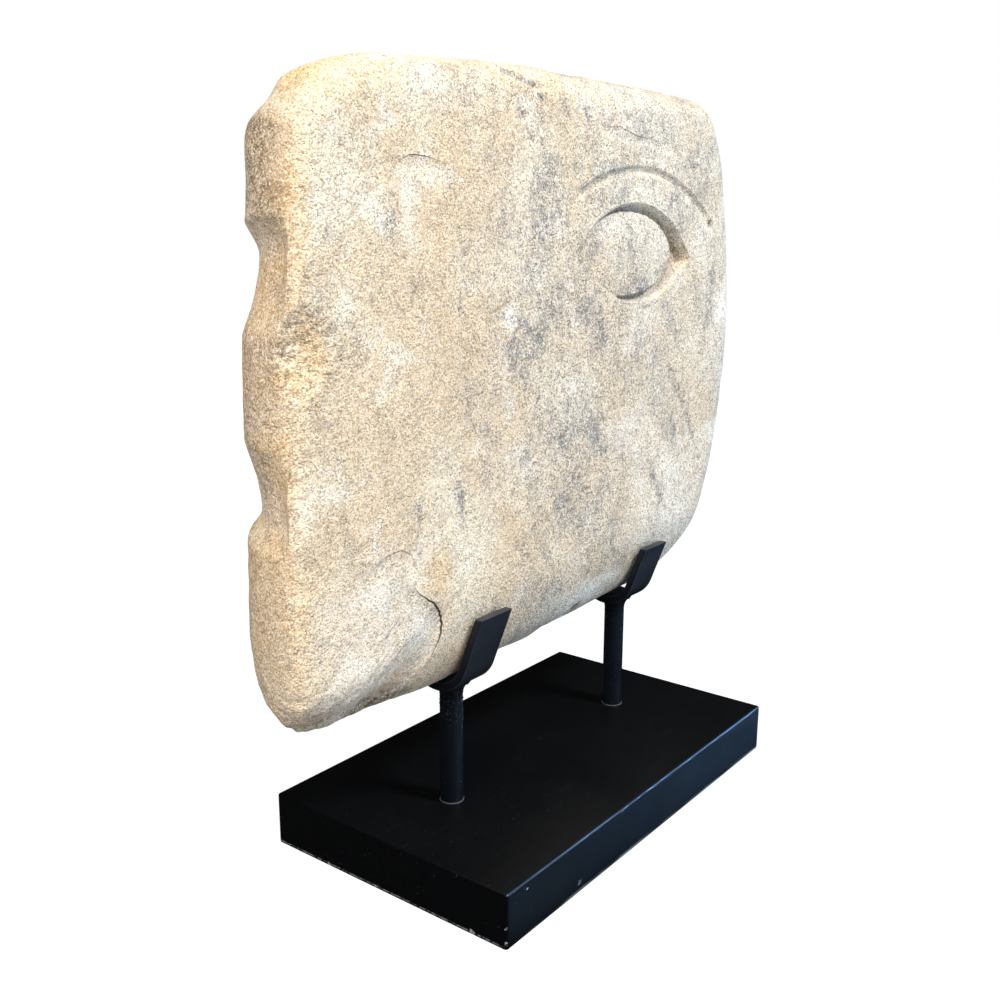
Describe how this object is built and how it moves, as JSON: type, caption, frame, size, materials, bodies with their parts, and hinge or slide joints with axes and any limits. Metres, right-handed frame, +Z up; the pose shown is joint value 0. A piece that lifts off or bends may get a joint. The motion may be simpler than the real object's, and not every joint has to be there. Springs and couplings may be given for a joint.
{
  "type": "carved stone panel on display stand",
  "caption": "Worn rounded sandstone slab with an eye carved in low relief, resting in bent steel cradles on rods above a flat black base.",
  "frame": {"origin": "middle of the base block's underside", "axes": "+X along the base block, to the right as seen from the carved side; -Y towards the viewer of the carved side; +Z up"},
  "size_m": [0.4125, 0.162, 0.4182],
  "materials": {
    "sandstone": "worn, matt and granular, with grey weathering and ochre stains",
    "base_lacquer": "satin black lacquer with small chips",
    "stand_steel": "satin black paint over bent and welded steel"
  },
  "bodies": {
    "root": {"base_block": "base_lacquer", "left_rod": "stand_steel", "right_rod": "stand_steel", "left_cradle": "stand_steel", "right_cradle": "stand_steel", "stone_panel": "sandstone"}
  },
  "joints": []
}
